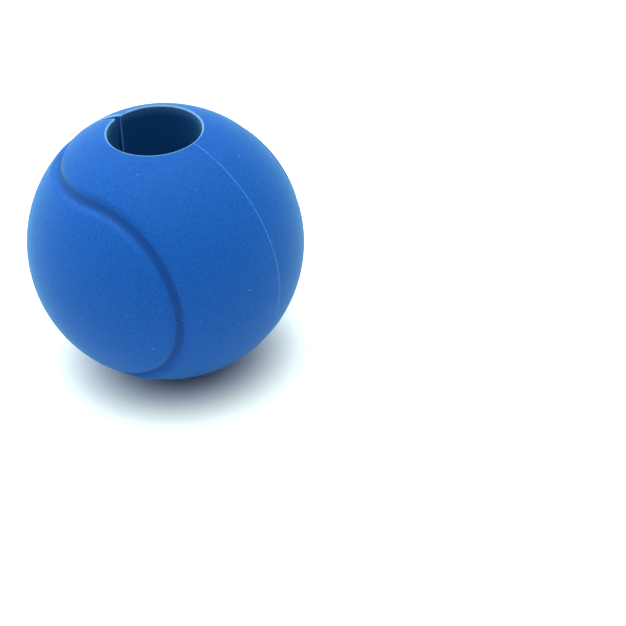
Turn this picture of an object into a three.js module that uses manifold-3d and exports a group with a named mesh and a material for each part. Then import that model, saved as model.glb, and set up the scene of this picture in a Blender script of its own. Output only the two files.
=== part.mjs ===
// A split rubber ball: a solid silicone ball with a bore right through it, and a slit that lets the bore be
// pushed over a bar. A shallow groove of four half circles winds round the outside.
//
// The rubber is one moulding, and it bends as the slit is pulled open. Here it is three solids with a hairline
// gap between them, so that it can open: a spine at the back, and a jaw on each side that swings about a line
// on the ball's outer surface, where the jaw meets the spine.
//
// Frame: millimetres, +Z up along the bore, the slit facing -Y, and the origin at the ball's centre.
import * as THREE from "three";
import { mergeVertices } from "three/addons/utils/BufferGeometryUtils.js";
import Module from "manifold-3d";

// Driving dimensions.
const BALL_DIAMETER = 75;
const BORE_DIAMETER = 25;
const MOUTH_LAND = 0.8; // width of the flat ring round each mouth of the bore
const GROOVE_WIDTH = 5.8;
const GROOVE_DEPTH = 1.2;
const SLIT_WAIST = 0.5; // gap between the lips at mid height
const SLIT_MOUTH = 1.9; // gap between the lips at each mouth of the bore
const SPINE_HALF_ANGLE = THREE.MathUtils.degToRad(38); // from the back, +Y, to each cut between spine and jaw
const CUT_GAP = 0.3; // clearance between the spine and a jaw
const ARC_OVERLAP = 0.1; // how far each arc of the groove runs on into the next

// How finely the round shapes are faceted.
const TURN_SEGMENTS = 60; // steps in a full turn round the bore
const ARC_SEGMENTS = 26; // steps from mouth to mouth along the outside
const GROOVE_SEGMENTS = 60; // steps in a full ring of the groove
const GROOVE_SIDES = 32; // sides of the round cutter that makes the groove
const SLIT_SEGMENTS = 10; // steps along each lip

// Sizes that follow from the driving dimensions.
const ballRadius = BALL_DIAMETER / 2;
const boreRadius = BORE_DIAMETER / 2;
const landRadius = boreRadius + MOUTH_LAND;
const mouthHeight = Math.sqrt(ballRadius ** 2 - landRadius ** 2);
const reach = 2 * BALL_DIAMETER; // longer than anything it cuts

const wasm = await Module();
wasm.setup();

// A closed three.js geometry as a solid that can be cut and joined.
function solidFrom(geometry) {
  const bare = geometry.clone();
  for (const name of Object.keys(bare.attributes)) {
    if (name !== "position") bare.deleteAttribute(name);
  }
  const merged = mergeVertices(bare, 1e-4);
  return new wasm.Manifold(
    new wasm.Mesh({
      numProp: 3,
      vertProperties: merged.attributes.position.array,
      triVerts: new Uint32Array(merged.index.array),
    }),
  );
}

// A solid as a three.js geometry, with flat shaded faces.
function geometryFrom(solid) {
  const mesh = solid.getMesh();
  const positions = new Float32Array(mesh.numVert * 3);
  for (let i = 0; i < mesh.numVert; i++) {
    const start = i * mesh.numProp;
    positions.set(mesh.vertProperties.subarray(start, start + 3), i * 3);
  }
  const geometry = new THREE.BufferGeometry();
  geometry.setAttribute("position", new THREE.BufferAttribute(positions, 3));
  geometry.setIndex(new THREE.BufferAttribute(mesh.triVerts, 1));
  const flat = geometry.toNonIndexed();
  flat.computeVertexNormals();
  return flat;
}

// The ball with its bore and the flat ring round each mouth, turned about Z.
function boredBall() {
  const edge = Math.atan2(mouthHeight, landRadius);
  const profile = [new THREE.Vector2(boreRadius, -mouthHeight)];
  for (let i = 0; i <= ARC_SEGMENTS; i++) {
    const angle = THREE.MathUtils.lerp(-edge, edge, i / ARC_SEGMENTS);
    profile.push(new THREE.Vector2(ballRadius * Math.cos(angle), ballRadius * Math.sin(angle)));
  }
  profile.push(new THREE.Vector2(boreRadius, mouthHeight));
  profile.push(profile[0].clone());
  const turned = new THREE.LatheGeometry(profile, TURN_SEGMENTS);
  return solidFrom(turned.rotateX(Math.PI / 2));
}

// A prism with an outline in the XY plane, which runs right through the ball along Z.
function uprightPrism(shape, options = {}) {
  const prism = new THREE.ExtrudeGeometry(shape, { depth: reach, bevelEnabled: false, ...options });
  return solidFrom(prism.translate(0, 0, -reach / 2));
}

// The space on one side of the plane y = 0, and a hair past it: side is 1 for +Y and -1 for -Y.
function halfSpace(side) {
  const block = new THREE.BoxGeometry(reach, reach / 2, reach);
  return solidFrom(block.translate(0, side * (reach / 4 - ARC_OVERLAP), 0));
}

// The cutter for the groove. Each of its four arcs is half of a ring that stands 45 degrees off its own axis,
// so neighbouring arcs meet end to end on the plane y = 0, and the groove is one closed line.
function grooveCutter() {
  const halfWidth = GROOVE_WIDTH / 2;
  const tube = (halfWidth ** 2 + GROOVE_DEPTH ** 2) / (2 * GROOVE_DEPTH);
  const ringOffset = (ballRadius + tube - GROOVE_DEPTH) * Math.SQRT1_2;
  const ring = (turn, direction) => {
    const torus = new THREE.TorusGeometry(ringOffset, tube, GROOVE_SIDES, GROOVE_SEGMENTS);
    torus.translate(0, 0, direction * ringOffset);
    return solidFrom(torus.rotateY(turn));
  };
  const front = halfSpace(-1);
  const back = halfSpace(1);
  let cutter = ring(0, 1).add(ring(0, -1)).intersect(front);
  cutter = cutter.add(ring(Math.PI / 2, 1).add(ring(Math.PI / 2, -1)).intersect(back));
  return cutter;
}

// The slit's cutter: narrow at mid height, and wider towards each mouth.
function slitCutter() {
  const height = mouthHeight + 1;
  const spread = (SLIT_MOUTH - SLIT_WAIST) * (height / mouthHeight) ** 2;
  const end = (SLIT_WAIST + spread) / 2;
  const control = SLIT_WAIST - end;
  const outline = new THREE.Shape();
  outline.moveTo(end, height);
  outline.quadraticCurveTo(control, 0, end, -height);
  outline.lineTo(-end, -height);
  outline.quadraticCurveTo(-control, 0, -end, height);
  const blade = new THREE.ExtrudeGeometry(outline, {
    depth: reach / 2,
    bevelEnabled: false,
    curveSegments: SLIT_SEGMENTS,
  });
  return solidFrom(blade.rotateX(Math.PI / 2));
}

// A wedge of space from the Z axis outwards, between two angles measured from +X towards +Y.
function wedge(from, to) {
  const outline = new THREE.Shape();
  outline.moveTo(0, 0);
  outline.lineTo(reach * Math.cos(from), reach * Math.sin(from));
  outline.absarc(0, 0, reach, from, to, false);
  return uprightPrism(outline, { curveSegments: 8 });
}

// The thin slab cleared along the plane between the spine and one jaw: side is 1 for +X and -1 for -X.
function cutSlab(side) {
  const slab = new THREE.BoxGeometry(CUT_GAP, reach, reach).translate(0, reach / 2, 0);
  return solidFrom(slab.rotateZ(-side * SPINE_HALF_ANGLE));
}

const rubber = new THREE.MeshStandardMaterial({ color: 0x2265b5, roughness: 0.62, metalness: 0 });

function namedMesh(name, solid) {
  const mesh = new THREE.Mesh(geometryFrom(solid), rubber);
  mesh.name = name;
  return mesh;
}

const moulding = boredBall().subtract(grooveCutter()).subtract(slitCutter());
const loosened = moulding.subtract(cutSlab(1)).subtract(cutSlab(-1));

const back = Math.PI / 2;
const front = -Math.PI / 2;

const ball = new THREE.Group();
ball.add(namedMesh("spine", loosened.intersect(wedge(back - SPINE_HALF_ANGLE, back + SPINE_HALF_ANGLE))));
ball.add(namedMesh("right_jaw", loosened.intersect(wedge(front, back - SPINE_HALF_ANGLE))));
ball.add(
  namedMesh("left_jaw", loosened.intersect(wedge(back + SPINE_HALF_ANGLE, front + 2 * Math.PI))),
);

export default ball;
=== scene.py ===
"""Dresses a split silicone grip ball.

The ball is one solid moulding, with a bore right through it, a slit along one side from the bore to the
outside, and a shallow groove that winds round the outside in one closed line. It is made here as the two
halves that meet on the parting plane of its mould, so that each half bends between the back wall and its
own jaw when the slit is pulled open.

Lengths are in metres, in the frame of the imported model: +Z along the bore, the slit facing -Y, and the
origin at the ball's centre.
"""

from __future__ import annotations

import logging
import math
from dataclasses import dataclass, field
from enum import Enum

import bmesh
import bpy
import numpy as np
from mathutils import Matrix, Vector

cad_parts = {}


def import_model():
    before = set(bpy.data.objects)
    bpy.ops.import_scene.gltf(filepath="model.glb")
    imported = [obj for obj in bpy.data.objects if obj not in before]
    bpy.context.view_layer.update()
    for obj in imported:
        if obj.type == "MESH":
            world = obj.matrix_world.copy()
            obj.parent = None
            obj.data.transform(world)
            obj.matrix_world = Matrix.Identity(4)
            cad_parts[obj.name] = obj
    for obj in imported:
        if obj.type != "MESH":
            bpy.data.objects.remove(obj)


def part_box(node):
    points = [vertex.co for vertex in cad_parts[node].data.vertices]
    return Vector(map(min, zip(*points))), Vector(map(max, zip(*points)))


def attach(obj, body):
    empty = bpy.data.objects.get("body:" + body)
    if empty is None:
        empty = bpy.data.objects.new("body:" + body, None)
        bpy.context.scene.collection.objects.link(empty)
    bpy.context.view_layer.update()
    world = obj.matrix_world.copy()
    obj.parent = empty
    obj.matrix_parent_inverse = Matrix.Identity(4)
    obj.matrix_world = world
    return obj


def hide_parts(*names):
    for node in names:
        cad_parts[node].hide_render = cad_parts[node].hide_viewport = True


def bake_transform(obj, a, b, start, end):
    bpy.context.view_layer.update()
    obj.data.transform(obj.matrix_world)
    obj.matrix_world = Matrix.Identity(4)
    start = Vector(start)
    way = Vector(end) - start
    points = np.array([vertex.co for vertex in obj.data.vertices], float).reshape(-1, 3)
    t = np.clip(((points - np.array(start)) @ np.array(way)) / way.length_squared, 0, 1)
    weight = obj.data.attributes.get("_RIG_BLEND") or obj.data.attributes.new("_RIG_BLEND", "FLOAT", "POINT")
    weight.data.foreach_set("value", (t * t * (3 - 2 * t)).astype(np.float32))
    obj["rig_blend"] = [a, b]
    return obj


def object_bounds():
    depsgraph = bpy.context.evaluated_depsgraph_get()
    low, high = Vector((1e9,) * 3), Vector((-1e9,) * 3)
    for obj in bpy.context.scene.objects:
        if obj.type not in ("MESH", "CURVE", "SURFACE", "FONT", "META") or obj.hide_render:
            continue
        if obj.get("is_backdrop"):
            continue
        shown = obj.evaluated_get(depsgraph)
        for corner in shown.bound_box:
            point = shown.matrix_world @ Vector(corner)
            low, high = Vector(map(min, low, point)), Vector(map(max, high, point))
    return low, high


LOG = logging.getLogger("grip_ball")

MM = 0.001


class Side(Enum):
    """The two sides of the slit, as seen by someone who faces it."""

    LEFT = -1
    RIGHT = 1

    @property
    def jaw(self) -> str:
        """Name of the rigid body that this side's lip belongs to."""
        return f"{self.name.lower()}_jaw"


class Skin(Enum):
    """Where on the moulding a finish is used."""

    BODY = "silicone_body"
    FLASH = "silicone_flash"


class MixKind(Enum):
    """What a Mix node mixes, and how its sockets' identifiers end."""

    FLOAT = "Float"
    VECTOR = "Vector"
    RGBA = "Color"


@dataclass(frozen=True)
class BallSizes:
    """Sizes of the moulding that both halves share.

    Attributes:
        radius: Outside radius of the skin, under the flash line.
        mouth_height: Height of each mouth's flat ring above the ball's centre.
        bore_radius: Radius of the bore.
        bore_round: Rounding of the edge between the bore and the flat ring.
        brow_round: Rounding of the edge between the flat ring and the ball's outside.
        lip_round: Rounding of the slit's edges.
        slit_waist: Gap between the lips at mid height.
        slit_mouth: Gap between the lips at each mouth.
        groove_width: Width of the groove between its edges, measured round the outside.
        groove_floor: Width of the groove's flat floor.
        groove_depth: Depth of the groove.
        arc_angle: Angle from the middle of each of the groove's half circles out to the groove.
    """

    radius: float
    mouth_height: float
    bore_radius: float = 12.5 * MM
    bore_round: float = 0.45 * MM
    brow_round: float = 0.8 * MM
    lip_round: float = 0.35 * MM
    slit_waist: float = 0.5 * MM
    slit_mouth: float = 1.9 * MM
    groove_width: float = 5.8 * MM
    groove_floor: float = 0.5 * MM
    groove_depth: float = 1.2 * MM
    arc_angle: float = math.radians(45.0)

    def half_gap(self, height: np.ndarray) -> np.ndarray:
        """Distance from the slit's middle plane to a lip.

        Args:
            height: Heights above the ball's centre.

        Returns:
            Half of the gap between the lips at each height.
        """
        share = (height / self.mouth_height) ** 2
        return (self.slit_waist + (self.slit_mouth - self.slit_waist) * share) / 2


@dataclass(frozen=True)
class LipNub:
    """A rag of rubber left on a lip where the slit crosses the groove.

    Attributes:
        height: Height of its middle above the ball's centre.
        reach: Distance of its middle from the bore's axis.
        size: How far it spreads to each side of its middle.
        stand: How far it stands out into the slit.
    """

    height: float
    reach: float
    size: float
    stand: float

    def bulge(self, reach: np.ndarray, height: np.ndarray) -> np.ndarray:
        """How far the lip is pushed into the slit.

        Args:
            reach: Distances from the bore's axis.
            height: Heights above the ball's centre.

        Returns:
            The push at each point.
        """
        away = ((reach - self.reach) ** 2 + (height - self.height) ** 2) / self.size**2
        return self.stand * np.exp(-away)


class Section:
    """The moulding's section on one side of the bore, as a grid of levels and columns.

    The inner boundary is the bore and the outer boundary is the ball's outside. The first and the last
    level are the flat rings round the mouths.

    Attributes:
        inner: Points of the inner boundary, as (reach, height), one for each level.
        outer: Points of the outer boundary, as (reach, height), one for each level.
        inner_normal: Outward normal at each inner point.
        outer_normal: Outward normal at each outer point.
        band: Number of levels in each band of the straight bore, which needs far fewer than the outside.
    """

    ROUND_STEPS = 8
    BORE_BANDS = 16

    def __init__(self, sizes: BallSizes, skin_step: float) -> None:
        """Works out both boundaries.

        Args:
            sizes: The moulding's sizes.
            skin_step: Distance between levels, measured along the outside.
        """
        round_start = sizes.mouth_height - sizes.bore_round
        latitude = math.asin(round_start / sizes.radius)
        count = self.BORE_BANDS * round(2 * latitude * sizes.radius / skin_step / self.BORE_BANDS)
        straight = sizes.radius * np.sin(np.linspace(-latitude, latitude, count + 1))
        turns = np.linspace(0, math.pi / 2, self.ROUND_STEPS + 1)[1:]
        rounded = round_start + sizes.bore_round * np.sin(turns)
        heights = np.concatenate([-rounded[::-1], straight, rounded])
        self.inner, self.inner_normal = self._bore_side(sizes, heights)
        self.outer, self.outer_normal = self._skin_side(sizes, heights)
        self.band = count // self.BORE_BANDS

    @staticmethod
    def _bore_side(sizes: BallSizes, heights: np.ndarray) -> tuple[np.ndarray, np.ndarray]:
        """The bore's wall and its rounded mouths.

        Args:
            sizes: The moulding's sizes.
            heights: Height of each level.

        Returns:
            The points and their outward normals.
        """
        start = sizes.mouth_height - sizes.bore_round
        rise = np.clip(np.abs(heights) - start, 0, None) * np.sign(heights)
        sine = np.clip(rise / sizes.bore_round, -1, 1)
        cosine = np.sqrt(1 - sine**2)
        reach = sizes.bore_radius + sizes.bore_round * (1 - cosine)
        return np.stack([reach, heights], 1), np.stack([-cosine, sine], 1)

    @staticmethod
    def _skin_side(sizes: BallSizes, heights: np.ndarray) -> tuple[np.ndarray, np.ndarray]:
        """The ball's outside and the soft brow round each mouth.

        Args:
            sizes: The moulding's sizes.
            heights: Height of each level.

        Returns:
            The points and their outward normals.
        """
        middle_height = sizes.mouth_height - sizes.brow_round
        middle_radius = sizes.radius - sizes.brow_round
        middle_reach = math.sqrt(middle_radius**2 - middle_height**2)
        start = middle_height * sizes.radius / middle_radius
        on_brow = np.abs(heights) > start
        sine = np.clip((np.abs(heights) - middle_height) / sizes.brow_round, 0, 1)
        cosine = np.sqrt(1 - sine**2)
        skin_reach = np.sqrt(np.clip(sizes.radius**2 - heights**2, 0, None))
        reach = np.where(on_brow, middle_reach + sizes.brow_round * cosine, skin_reach)
        normal_reach = np.where(on_brow, cosine, skin_reach / sizes.radius)
        normal_height = np.where(on_brow, sine * np.sign(heights), heights / sizes.radius)
        return np.stack([reach, heights], 1), np.stack([normal_reach, normal_height], 1)

    def grid(self, inset: float, columns: int) -> np.ndarray:
        """Points of the section, shrunk by an inset.

        Args:
            inset: How far both boundaries and the flat rings are drawn in.
            columns: Number of steps from the bore to the outside.

        Returns:
            An array of (level, column, 2), with the last axis as (reach, height).
        """
        inner = self.inner - inset * self.inner_normal
        outer = self.outer - inset * self.outer_normal
        share = np.linspace(0, 1, columns + 1)[None, :, None]
        return inner[:, None, :] * (1 - share) + outer[:, None, :] * share


class NodeBench:
    """Adds nodes to one tree, and joins them."""

    def __init__(self, tree: bpy.types.NodeTree) -> None:
        """Starts on a tree.

        Args:
            tree: The tree that the nodes go into.
        """
        self.tree = tree

    def add(self, kind: str, **settings: object) -> bpy.types.Node:
        """Adds a node.

        Args:
            kind: Blender's name for the type of node.
            **settings: Values for the node's own properties.

        Returns:
            The new node.
        """
        node = self.tree.nodes.new(kind)
        for name, value in settings.items():
            setattr(node, name, value)
        return node

    def feed(self, target: bpy.types.NodeSocket, source: object) -> None:
        """Links a socket to another, or sets its value.

        Args:
            target: The input socket.
            source: An output socket, or a plain value.
        """
        if isinstance(source, bpy.types.NodeSocket):
            self.tree.links.new(source, target)
        else:
            target.default_value = source

    def math(self, operation: str, *values: object, clamp: bool = False) -> bpy.types.NodeSocket:
        """Adds a Math node.

        Args:
            operation: The operation's name.
            *values: One to three sockets or numbers.
            clamp: True to keep the result between 0 and 1.

        Returns:
            The result's socket.
        """
        node = self.add("ShaderNodeMath", operation=operation, use_clamp=clamp)
        for target, value in zip(node.inputs, values):
            self.feed(target, value)
        return node.outputs[0]

    def vector(self, operation: str, *values: object) -> bpy.types.Node:
        """Adds a Vector Math node.

        Args:
            operation: The operation's name.
            *values: Sockets or vectors for its vector inputs.

        Returns:
            The new node.
        """
        node = self.add("ShaderNodeVectorMath", operation=operation)
        for target, value in zip(node.inputs, values):
            self.feed(target, value)
        return node

    def mix(self, kind: MixKind, share: object, first: object, second: object) -> bpy.types.NodeSocket:
        """Adds a Mix node.

        Args:
            kind: What is mixed.
            share: How much of the second value shows.
            first: The first value.
            second: The second value.

        Returns:
            The mixed value's socket.
        """
        node = self.add("ShaderNodeMix", data_type=kind.name)
        inputs = {socket.identifier: socket for socket in node.inputs}
        self.feed(inputs["Factor_Float"], share)
        self.feed(inputs[f"A_{kind.value}"], first)
        self.feed(inputs[f"B_{kind.value}"], second)
        return next(socket for socket in node.outputs if socket.identifier == f"Result_{kind.value}")

    def smooth(self, value: object, low: object, high: object) -> bpy.types.NodeSocket:
        """Adds a smooth step from 0 at one value to 1 at another.

        Args:
            value: The socket to measure.
            low: Value where the result is 0.
            high: Value where the result is 1.

        Returns:
            The result's socket.
        """
        node = self.add("ShaderNodeMapRange", interpolation_type="SMOOTHSTEP")
        for name, source in (("Value", value), ("From Min", low), ("From Max", high)):
            self.feed(node.inputs[name], source)
        return node.outputs["Result"]


class GeometryTree:
    """A Geometry Nodes tree with named inputs, which ends in Realize Instances and Set Material."""

    def __init__(self, name: str) -> None:
        """Makes the empty tree with its geometry and material inputs.

        Args:
            name: The tree's name.
        """
        self.tree = bpy.data.node_groups.new(name, "GeometryNodeTree")
        self.bench = NodeBench(self.tree)
        self.add_input("Geometry", "NodeSocketGeometry")
        self.add_input("Material", "NodeSocketMaterial")
        self.tree.interface.new_socket("Geometry", in_out="OUTPUT", socket_type="NodeSocketGeometry")

    def add_input(self, name: str, socket_type: str) -> None:
        """Adds a named input to the tree.

        Args:
            name: The input's name.
            socket_type: Blender's name for the type of socket.
        """
        self.tree.interface.new_socket(name, in_out="INPUT", socket_type=socket_type)

    def close(self, entry: bpy.types.Node, geometry: bpy.types.NodeSocket) -> None:
        """Ends the tree.

        Args:
            entry: The tree's Group Input node.
            geometry: The socket that carries the finished geometry.
        """
        real = self.bench.add("GeometryNodeRealizeInstances")
        self.bench.feed(real.inputs["Geometry"], geometry)
        painted = self.bench.add("GeometryNodeSetMaterial")
        self.bench.feed(painted.inputs["Geometry"], real.outputs["Geometry"])
        self.bench.feed(painted.inputs["Material"], entry.outputs["Material"])
        leave = self.bench.add("NodeGroupOutput")
        self.bench.feed(leave.inputs["Geometry"], painted.outputs["Geometry"])

    def run(self, piece: bpy.types.Object, values: dict[str, object]) -> None:
        """Runs the tree on a piece and leaves the result as the piece's plain mesh.

        Args:
            piece: The object whose mesh goes in.
            values: The value of each named input.
        """
        modifier = piece.modifiers.new(self.tree.name, "NODES")
        modifier.node_group = self.tree
        for item in self.tree.interface.items_tree:
            if item.in_out == "INPUT" and item.name in values:
                modifier[item.identifier] = values[item.name]
        graph = bpy.context.evaluated_depsgraph_get()
        made = bpy.data.meshes.new_from_object(
            piece.evaluated_get(graph), preserve_all_data_layers=True, depsgraph=graph
        )
        blank = piece.data
        piece.modifiers.remove(modifier)
        piece.data = made
        made.name = piece.name
        bpy.data.meshes.remove(blank)


class GrooveTree(GeometryTree):
    """Presses the groove into the outside of a half moulding.

    The groove's middle line is four half circles, each as far from its own axis as the next: two round
    +Z and -Z in front of the bore's axis, and two round +X and -X behind it. They meet end to end.
    """

    SIZES = ("Ball Radius", "Groove Width", "Groove Floor", "Groove Depth", "Arc Angle", "Skin Depth")

    def __init__(self) -> None:
        """Builds the tree."""
        super().__init__("press_groove")
        for name in self.SIZES:
            self.add_input(name, "NodeSocketFloat")
        bench = self.bench
        entry = bench.add("NodeGroupInput")
        place = bench.add("GeometryNodeInputPosition").outputs[0]
        outward = bench.vector("NORMALIZE", place).outputs[0]
        share = self._profile(entry, outward)
        reach = bench.vector("LENGTH", place).outputs["Value"]
        below = bench.math("SUBTRACT", entry.outputs["Ball Radius"], entry.outputs["Skin Depth"])
        share = bench.math("MULTIPLY", share, bench.smooth(reach, below, entry.outputs["Ball Radius"]))
        depth = bench.math("MULTIPLY", share, entry.outputs["Groove Depth"])
        push = bench.vector("SCALE", outward)
        bench.feed(push.inputs["Scale"], bench.math("MULTIPLY", depth, -1.0))
        moved = bench.add("GeometryNodeSetPosition")
        bench.feed(moved.inputs["Offset"], push.outputs[0])
        marked = bench.add("GeometryNodeStoreNamedAttribute", data_type="FLOAT", domain="POINT")
        bench.feed(marked.inputs["Geometry"], entry.outputs["Geometry"])
        bench.feed(marked.inputs["Name"], "groove")
        bench.feed(marked.inputs["Value"], share)
        bench.feed(moved.inputs["Geometry"], marked.outputs["Geometry"])
        self.close(entry, moved.outputs["Geometry"])

    def _profile(
        self, entry: bpy.types.Node, outward: bpy.types.NodeSocket
    ) -> bpy.types.NodeSocket:
        """How deep the groove is at a point, from 0 outside it to 1 on its middle line.

        Args:
            entry: The tree's Group Input node.
            outward: Direction from the ball's centre to the point.

        Returns:
            The share of the groove's depth.
        """
        bench = self.bench
        split = bench.add("ShaderNodeSeparateXYZ")
        bench.feed(split.inputs[0], outward)
        off = []
        for axis in ("Z", "X"):
            lean = bench.math("ARCCOSINE", bench.math("ABSOLUTE", split.outputs[axis]))
            off.append(bench.math("ABSOLUTE", bench.math("SUBTRACT", lean, entry.outputs["Arc Angle"])))
        behind = bench.math("GREATER_THAN", split.outputs["Y"], 0.0)
        lean_off = bench.mix(MixKind.FLOAT, behind, *off)
        away = bench.math("MULTIPLY", lean_off, entry.outputs["Ball Radius"])
        half_width = bench.math("MULTIPLY", entry.outputs["Groove Width"], 0.5)
        half_floor = bench.math("MULTIPLY", entry.outputs["Groove Floor"], 0.5)
        wall = bench.math("SUBTRACT", half_width, half_floor)
        phase = bench.math("DIVIDE", bench.math("SUBTRACT", away, half_floor), wall, clamp=True)
        wave = bench.math("COSINE", bench.math("MULTIPLY", phase, math.pi))
        return bench.math("MULTIPLY_ADD", wave, 0.5, 0.5)


class FlashTree(GeometryTree):
    """Lays a thin, uneven bead of flash along a line of points."""

    SIZES = ("Bead Radius", "Wander", "Unevenness", "Grain")
    # How many times finer than the tree's grain the line sways, and the bead swells.
    SWAY_FINENESS = 1.0
    SWELL_FINENESS = 3.0

    def __init__(self) -> None:
        """Builds the tree."""
        super().__init__("lay_flash")
        for name in self.SIZES:
            self.add_input(name, "NodeSocketFloat")
        self.add_input("Bead Sides", "NodeSocketInt")
        bench = self.bench
        entry = bench.add("NodeGroupInput")
        line = bench.add("GeometryNodeMeshToCurve")
        bench.feed(line.inputs[0], entry.outputs["Geometry"])
        sway = self._noise(entry, self.SWAY_FINENESS)
        offset = bench.add("ShaderNodeCombineXYZ")
        bench.feed(offset.inputs["X"], bench.math("MULTIPLY", sway, entry.outputs["Wander"]))
        swayed = bench.add("GeometryNodeSetPosition")
        bench.feed(swayed.inputs["Geometry"], line.outputs[0])
        bench.feed(swayed.inputs["Offset"], offset.outputs[0])
        ripple = self._noise(entry, self.SWELL_FINENESS)
        swell = bench.math("MULTIPLY_ADD", ripple, entry.outputs["Unevenness"], 1.0)
        ring = bench.add("GeometryNodeCurvePrimitiveCircle", mode="RADIUS")
        bench.feed(ring.inputs["Resolution"], entry.outputs["Bead Sides"])
        bench.feed(ring.inputs["Radius"], entry.outputs["Bead Radius"])
        bead = bench.add("GeometryNodeCurveToMesh")
        bench.feed(bead.inputs["Curve"], swayed.outputs["Geometry"])
        bench.feed(bead.inputs["Profile Curve"], ring.outputs["Curve"])
        bench.feed(bead.inputs["Scale"], swell)
        bead.inputs["Fill Caps"].default_value = True
        self.close(entry, bead.outputs["Mesh"])

    def _noise(self, entry: bpy.types.Node, finer: float) -> bpy.types.NodeSocket:
        """Smooth noise between -1 and 1 along the line.

        Args:
            entry: The tree's Group Input node.
            finer: How many times finer than the tree's grain it is.

        Returns:
            The noise's socket.
        """
        bench = self.bench
        noise = bench.add("ShaderNodeTexNoise", noise_dimensions="3D")
        bench.feed(noise.inputs["Scale"], bench.math("MULTIPLY", entry.outputs["Grain"], finer))
        bench.feed(noise.inputs["Vector"], bench.add("GeometryNodeInputPosition").outputs[0])
        return bench.math("MULTIPLY_ADD", noise.outputs["Fac"], 2.0, -1.0)


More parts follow.
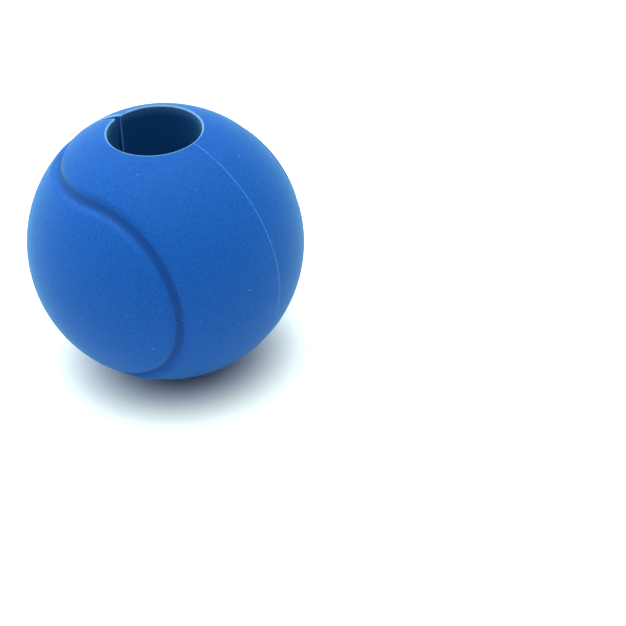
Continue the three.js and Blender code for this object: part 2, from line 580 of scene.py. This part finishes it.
@dataclass(frozen=True)
class SiliconeFinish:
    """Matte silicone with a fine grain, soft mottling, worn edges with a painted highlight, painted shade in
    the groove and the bore, and a little dust.

    Attributes:
        skin: Where on the moulding it is used.
        base: Colour of the rubber, as linear red, green and blue.
        deep: Colour of the darker patches in its mottling.
        groove_shade: Darker colour painted down in the groove as painted shade.
        inner: Darker colour painted on the bore's wall as painted shade.
        rub_highlight: Paler colour on the mouths' rims and the slit's edges, partly wear and partly a
            painted highlight.
        dust: Colour of a speck of dust.
        bore_shade_share: How much of the bore's painted shade shows on its wall.
        roughness: Roughness of the skin.
        ior: Index of refraction of silicone.
        gloss: Strength of the skin's reflections.
        bloom: Strength of the pale bloom at glancing angles.
        bloom_roughness: How widely the bloom spreads from the edge.
        bloom_tint: Colour of that bloom.
        mottle_size: Size of one patch of the mottling.
        rub_size: Size of one patch along a rubbed edge.
        speck_spacing: Size of the noise whose peaks are the specks of dust.
        grain_size: Size of one grain of the skin.
        grain_depth: Height of the grain.
    """

    # Noise values between which a patch fades in, and between which a speck of dust does.
    PATCH_RANGE = (0.25, 0.75)
    SPECK_RANGE = (0.80, 0.86)
    # Shares of the groove's depth between which its painted shade fades in.
    GROOVE_SHADE_RANGE = (0.5, 1.0)
    # How strong an edge's wear and painted highlight are between its most worn patches, which count as 1.
    LEAST_WEAR = 0.7

    skin: Skin
    base: tuple[float, float, float] = (0.0024, 0.080, 0.370)
    deep: tuple[float, float, float] = (0.0018, 0.057, 0.295)
    groove_shade: tuple[float, float, float] = (0.0014, 0.044, 0.225)
    inner: tuple[float, float, float] = (0.0020, 0.055, 0.200)
    rub_highlight: tuple[float, float, float] = (0.20, 0.40, 0.74)
    dust: tuple[float, float, float] = (0.30, 0.45, 0.66)
    bore_shade_share: float = 0.85
    roughness: float = 0.68
    ior: float = 1.42
    gloss: float = 0.18
    bloom: float = 0.19
    bloom_roughness: float = 0.4
    bloom_tint: tuple[float, float, float] = (0.23, 0.82, 0.76)
    mottle_size: float = 0.7 * MM
    # rub_size: Size of one patch along a worn edge and its painted highlight.
    rub_size: float = 1.2 * MM
    speck_spacing: float = 0.7 * MM
    grain_size: float = 0.35 * MM
    grain_depth: float = 0.012 * MM

    def material(self) -> bpy.types.Material:
        """Builds the material.

        Returns:
            The node material.
        """
        made = bpy.data.materials.new(self.skin.value)
        made.use_nodes = True
        made.node_tree.nodes.clear()
        made.diffuse_color = (*self.base, 1.0)
        bench = NodeBench(made.node_tree)
        shader = bench.add("ShaderNodeBsdfPrincipled")
        shader.inputs["Roughness"].default_value = self.roughness
        shader.inputs["IOR"].default_value = self.ior
        shader.inputs["Specular IOR Level"].default_value = self.gloss
        shader.inputs["Sheen Weight"].default_value = self.bloom
        shader.inputs["Sheen Roughness"].default_value = self.bloom_roughness
        shader.inputs["Sheen Tint"].default_value = (*self.bloom_tint, 1.0)
        place = bench.add("ShaderNodeTexCoord").outputs["Object"]
        bench.feed(shader.inputs["Base Color"], self._colour(bench, place))
        bench.feed(shader.inputs["Normal"], self._grain(bench, place))
        leave = bench.add("ShaderNodeOutputMaterial")
        bench.feed(leave.inputs["Surface"], shader.outputs["BSDF"])
        return made

    @staticmethod
    def _noise(
        bench: NodeBench, place: bpy.types.NodeSocket, size: float, detail: float
    ) -> bpy.types.NodeSocket:
        """Adds a noise texture.

        Args:
            bench: Where the nodes go.
            place: The coordinates to read.
            size: Size of one patch of the noise.
            detail: Number of finer layers in it.

        Returns:
            The noise's value, from 0 to 1.
        """
        noise = bench.add("ShaderNodeTexNoise")
        noise.inputs["Scale"].default_value = 1.0 / size
        noise.inputs["Detail"].default_value = detail
        bench.feed(noise.inputs["Vector"], place)
        return noise.outputs["Fac"]

    @staticmethod
    def _mark(bench: NodeBench, name: str) -> bpy.types.NodeSocket:
        """Reads one of the shares that are stored at the piece's points."""
        return bench.add("ShaderNodeAttribute", attribute_name=name).outputs["Fac"]

    def _colour(self, bench: NodeBench, place: bpy.types.NodeSocket) -> bpy.types.NodeSocket:
        """The rubber's colour, with mottling, painted shade in the groove and the bore, worn edges with a
        painted highlight, and specks of dust.

        Args:
            bench: Where the nodes go.
            place: The coordinates to read.

        Returns:
            The colour's socket.
        """
        mottle = bench.smooth(self._noise(bench, place, self.mottle_size, detail=4.0), *self.PATCH_RANGE)
        colour = bench.mix(MixKind.RGBA, mottle, (*self.deep, 1.0), (*self.base, 1.0))
        # Painted shade: the groove is darkened towards its floor.
        groove_shade_share = bench.smooth(self._mark(bench, "groove"), *self.GROOVE_SHADE_RANGE)
        colour = bench.mix(MixKind.RGBA, groove_shade_share, colour, (*self.groove_shade, 1.0))
        # Painted shade: the bore's wall is darkened.
        shaded = bench.math("MULTIPLY", self._mark(bench, "bore"), self.bore_shade_share)
        colour = bench.mix(MixKind.RGBA, shaded, colour, (*self.inner, 1.0))
        # Partly wear, partly painted highlight: the rims and slit edges are paled in patches.
        patches = bench.smooth(self._noise(bench, place, self.rub_size, detail=3.0), *self.PATCH_RANGE)
        wear = bench.math("MULTIPLY_ADD", patches, 1.0 - self.LEAST_WEAR, self.LEAST_WEAR)
        rub_highlight_share = bench.math("MULTIPLY", self._mark(bench, "edge"), wear)
        colour = bench.mix(MixKind.RGBA, rub_highlight_share, colour, (*self.rub_highlight, 1.0))
        peaks = self._noise(bench, place, self.speck_spacing, detail=1.0)
        speck = bench.smooth(peaks, *self.SPECK_RANGE)
        return bench.mix(MixKind.RGBA, speck, colour, (*self.dust, 1.0))

    def _grain(self, bench: NodeBench, place: bpy.types.NodeSocket) -> bpy.types.NodeSocket:
        """The skin's fine grain, as a bump.

        Args:
            bench: Where the nodes go.
            place: The coordinates to read.

        Returns:
            The bumped normal's socket.
        """
        bump = bench.add("ShaderNodeBump")
        bump.inputs["Strength"].default_value = 1.0
        bump.inputs["Distance"].default_value = self.grain_depth
        bench.feed(bump.inputs["Height"], self._noise(bench, place, self.grain_size, detail=2.0))
        return bump.outputs["Normal"]


@dataclass
class HalfMoulding:
    """One half of the ball, from its lip round to the parting plane at the back.

    Attributes:
        side: Which side of the slit it is on.
        sizes: The moulding's sizes.
        nubs: Rags of rubber on this half's lip.
        skin_step: Distance between neighbouring points on the outside.
        lip_steps: Number of steps in the rounding of the lip.
        columns: Number of steps from the bore to the outside.
        skin_depth: How deep under the skin the groove's push is felt.
        rub_highlight_width: How far the worn look and painted highlight of an edge spread from it.
        rub_highlight_falloff: How abruptly they end there.
        inner_lip_narrowing: How many times narrower it is where the slit meets the bore.
        spine_angle: Angle from the back to the line that the jaw swings about.
    """

    side: Side
    sizes: BallSizes
    nubs: tuple[LipNub, ...] = ()
    skin_step: float = 0.40 * MM
    lip_steps: int = 6
    columns: int = 10
    skin_depth: float = 3.0 * MM
    rub_highlight_width: float = 0.42 * MM
    rub_highlight_falloff: int = 4
    inner_lip_narrowing: float = 1.8
    spine_angle: float = math.radians(38.0)
    section: Section = field(init=False)

    def __post_init__(self) -> None:
        """Works out the section that is swept round the bore."""
        self.section = Section(self.sizes, self.skin_step)

    def build(self, groove: GrooveTree, skin: bpy.types.Material) -> bpy.types.Object:
        """Builds the finished half and ties it to the frame.

        Args:
            groove: The tree that presses the groove in.
            skin: The half's material.

        Returns:
            The finished piece.
        """
        piece = self._blank()
        groove.run(
            piece,
            {
                "Material": skin,
                "Ball Radius": self.sizes.radius,
                "Groove Width": self.sizes.groove_width,
                "Groove Floor": self.sizes.groove_floor,
                "Groove Depth": self.sizes.groove_depth,
                "Arc Angle": self.sizes.arc_angle,
                "Skin Depth": self.skin_depth,
            },
        )
        start = self._bend_point(-1)
        end = self._bend_point(1)
        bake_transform(piece, "spine", self.side.jaw, start=start, end=end)
        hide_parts("spine", self.side.jaw)
        return piece

    def _bend_point(self, way: int) -> tuple[float, float, float]:
        """A point on one edge of the band that bends.

        The band runs through the line that the jaw swings about, and its near edge just touches the bore
        at the back, so that both halves stay together on the parting plane.

        Args:
            way: -1 for the edge on the spine's side, 1 for the edge on the jaw's side.

        Returns:
            The point, in the frame.
        """
        half_width = self.sizes.bore_radius * math.sin(self.spine_angle)
        x = self.side.value * math.cos(self.spine_angle)
        y = -math.sin(self.spine_angle)
        return (way * half_width * x, way * half_width * y, 0.0)

    def _ring(self, depth: float, share: float, inset: float) -> np.ndarray:
        """The section, carried round to one place between the lip and the back.

        Args:
            depth: Distance behind the lip's face, which sets where the sweep starts.
            share: Share of the way from there to the back.
            inset: How far the section is drawn in.

        Returns:
            An array of (level, column, 3).
        """
        grid = self.section.grid(inset, self.columns)
        reach, height = grid[..., 0], grid[..., 1]
        off = self.sizes.half_gap(height) + depth
        for nub in self.nubs:
            off = off - nub.bulge(reach, height)
        start = np.arcsin(off / reach)
        turn = start + (math.pi - start) * share
        x = self.side.value * reach * np.sin(turn)
        return np.stack([x, -reach * np.cos(turn), height], -1)

    def _rings(self) -> np.ndarray:
        """Every ring of the half, from the lip's face to the parting plane.

        Returns:
            An array of (ring, level, column, 3).
        """
        rounding = self.sizes.lip_round
        rings = []
        for step in range(self.lip_steps):
            turn = step / self.lip_steps * math.pi / 2
            depth = rounding * (1 - math.cos(turn))
            inset = rounding * (1 - math.sin(turn))
            rings.append(self._ring(depth, 0.0, inset))
        count = round(math.pi * self.sizes.radius / self.skin_step)
        for step in range(count + 1):
            rings.append(self._ring(rounding, step / count, 0.0))
        return np.array(rings)

    def _blank(self) -> bpy.types.Object:
        """Builds the half as a closed mesh, without the groove.

        Returns:
            The new object.
        """
        rings = self._rings()
        on_shell = np.zeros(rings.shape[:3], bool)
        on_shell[[0, -1]] = True
        on_shell[:, [0, -1]] = True
        on_shell[:, :, [0, -1]] = True
        index = np.full(rings.shape[:3], -1)
        index[on_shell] = np.arange(on_shell.sum())
        points = rings[on_shell]
        mesh = bpy.data.meshes.new(f"{self.side.name.lower()}_half")
        mesh.from_pydata(points.tolist(), [], self._faces(index).tolist())
        mesh.polygons.foreach_set("use_smooth", np.ones(len(mesh.polygons), bool))
        self._sharpen_parting(mesh, index)
        on_bore = np.zeros(len(points))
        on_bore[index[:, :, 0]] = 1.0
        for name, share in (("edge", self._edge_share(points)), ("bore", on_bore)):
            mark = mesh.attributes.new(name, "FLOAT", "POINT")
            mark.data.foreach_set("value", share.astype(np.float32))
        self._thin_bore(mesh, index[:, :, 0])
        piece = bpy.data.objects.new(mesh.name, mesh)
        bpy.context.scene.collection.objects.link(piece)
        return piece

    def _faces(self, index: np.ndarray) -> np.ndarray:
        """The faces of the shell, all facing outwards.

        Args:
            index: Each shell point's number, in an array of (ring, level, column).

        Returns:
            An array of (face, 4) with the numbers of each face's corners.
        """
        sheets = (
            (index[:, :, -1], False),
            (index[:, :, 0], True),
            (index[:, -1, :], True),
            (index[:, 0, :], False),
            (index[0], True),
            (index[-1], False),
        )
        mirrored = self.side is Side.LEFT
        faces = []
        for sheet, turned in sheets:
            corners = (sheet[:-1, :-1], sheet[1:, :-1], sheet[1:, 1:], sheet[:-1, 1:])
            quads = np.stack(corners, -1).reshape(-1, 4)
            faces.append(quads[:, ::-1] if turned != mirrored else quads)
        return np.concatenate(faces)

    @staticmethod
    def _sharpen_parting(mesh: bpy.types.Mesh, index: np.ndarray) -> None:
        """Marks the parting face's rim as sharp, so that the skin is shaded as if it ran on past it.

        Args:
            mesh: The half's mesh.
            index: Each shell point's number, in an array of (ring, level, column).
        """
        on_rim = np.zeros(len(mesh.vertices), bool)
        last = index[-1]
        for rim in (last[0], last[-1], last[:, 0], last[:, -1]):
            on_rim[rim] = True
        ends = np.zeros(len(mesh.edges) * 2, np.int32)
        mesh.edges.foreach_get("vertices", ends)
        sharp = on_rim[ends.reshape(-1, 2)].all(axis=1)
        mesh.edges.foreach_set("use_edge_sharp", sharp)

    def _thin_bore(self, mesh: bpy.types.Mesh, wall: np.ndarray) -> None:
        """Joins the small faces of the straight bore into tall ones.

        Args:
            mesh: The half's mesh.
            wall: Number of each point on the bore's wall, in an array of (ring, level).
        """
        shell = bmesh.new()
        shell.from_mesh(mesh)
        shell.verts.ensure_lookup_table()
        first = Section.ROUND_STEPS
        spare = []
        for level in range(first, wall.shape[1] - first):
            if (level - first) % self.section.band:
                row = [shell.verts[point] for point in wall[:, level]]
                spare += [shell.edges.get(pair) for pair in zip(row[:-1], row[1:])]
        bmesh.ops.dissolve_edges(shell, edges=spare, use_verts=True)
        shell.to_mesh(mesh)
        shell.free()

    def _edge_share(self, points: np.ndarray) -> np.ndarray:
        """How close each point is to an edge that is worn and gets a painted highlight: the mouths' rims and
        the slit's edges.

        Args:
            points: The points, as an array of (point, 3).

        Returns:
            A share for each point, from 0 away from any edge to 1 on it.
        """
        sizes = self.sizes
        reach = np.hypot(points[:, 0], points[:, 1])
        height = points[:, 2]
        under_skin = sizes.radius - np.hypot(reach, height)
        behind_lip = np.abs(points[:, 0]) - sizes.half_gap(height)
        # The back wall crosses the slit's middle plane too, but has no lip there.
        behind_lip = np.where(points[:, 1] < 0, behind_lip, sizes.radius)
        rim = np.hypot(reach - sizes.bore_radius, np.abs(height) - sizes.mouth_height)
        outer_lip = np.hypot(behind_lip, under_skin)
        inner_lip = np.hypot(behind_lip, reach - sizes.bore_radius)
        nearest = np.minimum(rim, np.minimum(outer_lip, self.inner_lip_narrowing * inner_lip))
        return np.exp(-((nearest / self.rub_highlight_width) ** self.rub_highlight_falloff))


@dataclass
class FlashLine:
    """The thin bead of flash down the back, where the halves of the mould met.

    Attributes:
        sizes: The moulding's sizes.
        stand: How far the bead stands out from the skin where it is thickest.
        bead_radius: Radius of the bead, most of which is buried in the skin.
        point_step: Distance between points along the line.
        wander: How far the line strays to each side.
        unevenness: Share of its radius by which the bead swells and thins.
        grain: How many times a metre the bead changes.
        bead_sides: Number of sides of the bead.
        lean: Angle between the line and the middle of the back, towards the left half.
        end_gap: Height that the line's ends keep below the flat rings.
    """

    sizes: BallSizes
    stand: float
    bead_radius: float = 0.20 * MM
    point_step: float = 0.5 * MM
    wander: float = 0.10 * MM
    unevenness: float = 0.35
    grain: float = 160.0
    bead_sides: int = 12
    lean: float = math.radians(2.0)
    end_gap: float = 0.15 * MM

    def build(self, flash: FlashTree, skin: bpy.types.Material) -> bpy.types.Object:
        """Builds the bead and ties it to the back wall.

        Args:
            flash: The tree that lays the bead.
            skin: The bead's material.

        Returns:
            The finished piece.
        """
        piece = self._line()
        flash.run(
            piece,
            {
                "Material": skin,
                "Bead Radius": self.bead_radius,
                "Wander": self.wander,
                "Unevenness": self.unevenness,
                "Grain": self.grain,
                "Bead Sides": self.bead_sides,
            },
        )
        piece.data.polygons.foreach_set("use_smooth", np.ones(len(piece.data.polygons), bool))
        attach(piece, "spine")
        return piece

    def _line(self) -> bpy.types.Object:
        """The line down the back, from mouth to mouth, as loose edges.

        Returns:
            The new object.
        """
        radius = self.sizes.radius + self.stand - self.bead_radius * (1 + self.unevenness)
        latitude = math.asin((self.sizes.mouth_height - self.end_gap) / self.sizes.radius)
        count = round(2 * latitude * radius / self.point_step)
        turns = np.linspace(-latitude, latitude, count + 1)
        reach = radius * np.cos(turns)
        x = -reach * math.sin(self.lean)
        y = reach * math.cos(self.lean)
        points = np.stack([x, y, radius * np.sin(turns)], 1)
        edges = np.stack([np.arange(count), np.arange(1, count + 1)], 1)
        mesh = bpy.data.meshes.new("flash_line")
        mesh.from_pydata(points.tolist(), edges.tolist(), [])
        piece = bpy.data.objects.new(mesh.name, mesh)
        bpy.context.scene.collection.objects.link(piece)
        return piece


@dataclass
class GripBall:
    """The whole ball: two halves of the moulding and the flash line down their seam.

    Attributes:
        sizes: The moulding's sizes.
        flash_stand: How far the flash line stands out from the skin where it is thickest.
        nub_inset: How much nearer the bore a rag of rubber's middle is than the groove's floor.
        nub_size: How far a rag spreads to each side of its middle.
        nub_stand: How far a rag stands out into the slit.
    """

    sizes: BallSizes
    flash_stand: float = 0.14 * MM
    nub_inset: float = 0.4 * MM
    nub_size: float = 0.7 * MM
    nub_stand: float = 0.55 * MM

    @classmethod
    def from_frame(cls) -> GripBall:
        """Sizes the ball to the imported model.

        Returns:
            The ball, as large as the model's own.
        """
        _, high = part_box(Side.RIGHT.jaw)
        sizes = BallSizes(radius=high.x - cls.flash_stand, mouth_height=high.z)
        return cls(sizes)

    def nubs(self, side: Side) -> tuple[LipNub, ...]:
        """The rags of rubber on one lip, one on each side, at opposite crossings of slit and groove.

        Args:
            side: Which lip.

        Returns:
            The rags on that lip.
        """
        floor_radius = self.sizes.radius - self.sizes.groove_depth
        height = -side.value * floor_radius * math.cos(self.sizes.arc_angle)
        reach = floor_radius * math.sin(self.sizes.arc_angle) - self.nub_inset
        return (LipNub(height, reach, self.nub_size, self.nub_stand),)

    def build(self) -> list[bpy.types.Object]:
        """Builds every piece.

        Returns:
            The finished pieces.
        """
        body_skin = SiliconeFinish(Skin.BODY).material()
        # The flash line is given a paler blue than the body.
        pale_flash_rubber = SiliconeFinish(Skin.FLASH, base=(0.05, 0.20, 0.56), deep=(0.02, 0.13, 0.44))
        flash_skin = pale_flash_rubber.material()
        groove = GrooveTree()
        pieces = []
        for side in Side:
            half = HalfMoulding(side, self.sizes, self.nubs(side))
            pieces.append(half.build(groove, body_skin))
        flash = FlashLine(self.sizes, self.flash_stand)
        pieces.append(flash.build(FlashTree(), flash_skin))
        return pieces


@dataclass(frozen=True)
class Glow:
    """One soft patch of light in the room.

    Attributes:
        azimuth: Side that it shines from, in degrees, where 0 is the slit's side.
        elevation: How high it is, in degrees.
        tightness: How quickly it fades away from its middle.
        strength: Its brightness in the middle.
        tint: Its colour.
    """

    azimuth: float
    elevation: float
    tightness: float
    strength: float
    tint: tuple[float, float, float] = (0.84, 0.96, 0.97)

    def direction(self) -> tuple[float, float, float]:
        """Direction from the ball to the middle of the light."""
        turn = math.radians(self.azimuth)
        rise = math.radians(self.elevation)
        return (math.sin(turn) * math.cos(rise), -math.cos(turn) * math.cos(rise), math.sin(rise))

    def colour(self) -> tuple[float, ...]:
        """Brightness of each colour in the light's middle."""
        return tuple(self.strength * part for part in self.tint)


@dataclass
class Studio:
    """The pale floor, the soft light and the camera.

    Attributes:
        ball_radius: Outside radius of the ball, which sets the camera's distance.
        floor_height: Height of the floor.
        azimuth: Direction that the camera looks from, in degrees, where 0 looks along +Y.
        elevation: How far the camera's line of sight points down, in degrees.
        roll: How far the camera is turned clockwise about its line of sight, in degrees.
        ball_place: Where the ball's centre is, seen from the camera: right, up and back, in ball radii.
        lens: Focal length, in millimetres.
        sensor: Width of the camera's sensor, in millimetres.
        glows: The soft lights.
        fill: Brightness of the room between the lights.
        backdrop: Brightness of the room as the camera sees it.
        floor_half: Distance from the middle of the floor to each of its sides.
        floor_colour: Colour of the floor, as linear red, green and blue.
        floor_roughness: Roughness of the floor.
    """

    ball_radius: float
    floor_height: float
    azimuth: float = 128.1
    elevation: float = 36.1
    roll: float = 3.2
    ball_place: tuple[float, float, float] = (-1.0585, 0.515, -14.415)
    lens: float = 115.0
    sensor: float = 36.0
    glows: tuple[Glow, ...] = (
        Glow(azimuth=0.0, elevation=90.0, tightness=6.5, strength=6.8, tint=(0.97, 1.08, 0.96)),
        Glow(azimuth=353.0, elevation=10.0, tightness=8.0, strength=2.2),
        Glow(azimuth=353.0, elevation=45.0, tightness=8.0, strength=1.2),
        Glow(azimuth=38.0, elevation=10.0, tightness=8.0, strength=1.4),
        Glow(azimuth=263.0, elevation=10.0, tightness=8.0, strength=1.4),
        Glow(azimuth=308.0, elevation=25.0, tightness=8.0, strength=1.3),
    )
    fill: float = 0.08
    backdrop: float = 1.0
    floor_half: float = 3.0
    floor_colour: tuple[float, float, float] = (0.90, 0.905, 0.91)
    floor_roughness: float = 0.9

    def build(self) -> None:
        """Builds the floor, the lights and the camera."""
        self._floor()
        self._lights()
        self._camera()

    def _floor(self) -> None:
        """Lays a wide pale floor under the ball."""
        half = self.floor_half
        outline = [(-half, -half), (half, -half), (half, half), (-half, half)]
        mesh = bpy.data.meshes.new("floor")
        mesh.from_pydata([(x, y, self.floor_height) for x, y in outline], [], [(0, 1, 2, 3)])
        floor = bpy.data.objects.new("floor", mesh)
        bpy.context.scene.collection.objects.link(floor)
        paper = bpy.data.materials.new("floor_paper")
        paper.use_nodes = True
        shader = next(node for node in paper.node_tree.nodes if node.type == "BSDF_PRINCIPLED")
        shader.inputs["Base Color"].default_value = (*self.floor_colour, 1.0)
        shader.inputs["Roughness"].default_value = self.floor_roughness
        mesh.materials.append(paper)
        floor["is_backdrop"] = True

    def _lights(self) -> None:
        """Lights the room with its soft glows, in front of a plain pale backdrop."""
        scene = bpy.context.scene
        scene.world = bpy.data.worlds.new("pale_room")
        scene.world.use_nodes = True
        scene.world.node_tree.nodes.clear()
        bench = NodeBench(scene.world.node_tree)
        way = bench.add("ShaderNodeTexCoord").outputs["Generated"]
        light: bpy.types.NodeSocket | tuple[float, ...] = (self.fill,) * 3
        for glow in self.glows:
            facing = bench.vector("DOT_PRODUCT", way, glow.direction()).outputs["Value"]
            lobe = bench.math("POWER", bench.math("MAXIMUM", facing, 0.0), glow.tightness)
            light = bench.vector("MULTIPLY_ADD", lobe, glow.colour(), light).outputs["Vector"]
        seen = bench.add("ShaderNodeLightPath").outputs["Is Camera Ray"]
        shown = bench.mix(MixKind.VECTOR, seen, light, (self.backdrop,) * 3)
        room = bench.add("ShaderNodeBackground")
        bench.feed(room.inputs["Color"], shown)
        leave = bench.add("ShaderNodeOutputWorld")
        bench.feed(leave.inputs["Surface"], room.outputs["Background"])

    def _camera(self) -> None:
        """Places the camera."""
        turn = Matrix.Rotation(math.radians(self.azimuth), 3, "Z")
        pitch = Matrix.Rotation(math.radians(90.0 - self.elevation), 3, "X")
        roll = Matrix.Rotation(math.radians(-self.roll), 3, "Z")
        basis = turn @ pitch @ roll
        lens = bpy.data.cameras.new("camera")
        lens.lens = self.lens
        lens.sensor_width = self.sensor
        camera = bpy.data.objects.new("camera", lens)
        bpy.context.scene.collection.objects.link(camera)
        place = basis @ (Vector(self.ball_place) * self.ball_radius)
        camera.matrix_world = Matrix.Translation(-place) @ basis.to_4x4()
        bpy.context.scene.camera = camera


def corners(box: tuple[Vector, Vector]) -> list[list[float]]:
    """A box's two corners as plain lists."""
    return [list(corner) for corner in box]


def main() -> None:
    """Builds the ball and its studio."""
    logging.basicConfig(level=logging.INFO, format="%(name)s: %(message)s")
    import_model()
    model_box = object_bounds()
    ball = GripBall.from_frame()
    for piece in ball.build():
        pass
    low, high = model_box
    Studio(ball_radius=high.x, floor_height=low.z).build()
    bpy.context.scene.view_settings.view_transform = "Standard"


if __name__ == "__main__":
    main()
